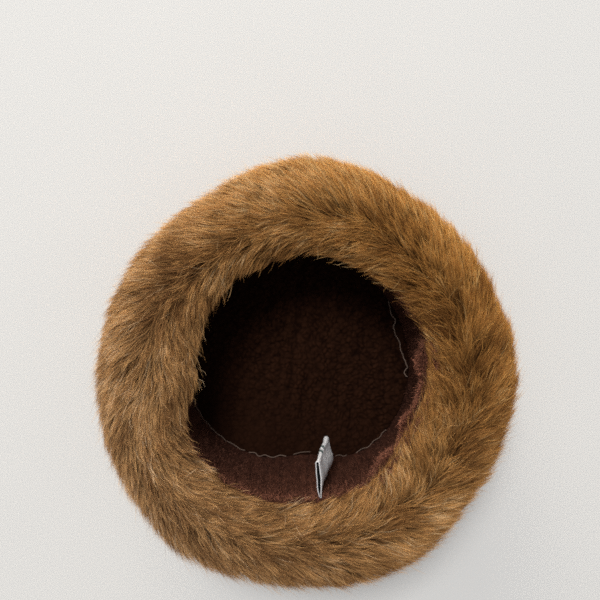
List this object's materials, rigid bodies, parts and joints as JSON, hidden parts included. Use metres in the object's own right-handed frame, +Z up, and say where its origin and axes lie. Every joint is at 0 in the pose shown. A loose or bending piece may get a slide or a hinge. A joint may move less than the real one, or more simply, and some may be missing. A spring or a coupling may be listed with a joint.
{
  "type": "cossack hat",
  "caption": "Round cossack hat of deep golden brown fur with a plush side lining, a nubbed fleece crown lining and a folded white care label, resting on its crown with the opening up",
  "frame": {"origin": "the middle of the bottom of the object's box, on the surface that the crown rests on", "axes": "+Z runs up the hat's axis towards its opening, +Y is the top of the picture and +X its right"},
  "size_m": [0.3078, 0.3121, 0.1426],
  "materials": {
    "fur": "deep fake fur pile, golden brown tips over dark roots",
    "plush": "short plush pile, dark reddish brown",
    "fleece": "sheared nubbed fleece, dark brown",
    "ribbon": "smooth white woven ribbon"
  },
  "bodies": {
    "root": {"fur_band": "fur", "crown_fur": "fur", "side_lining": "plush", "crown_lining": "fleece", "care_label": "ribbon"}
  },
  "joints": []
}
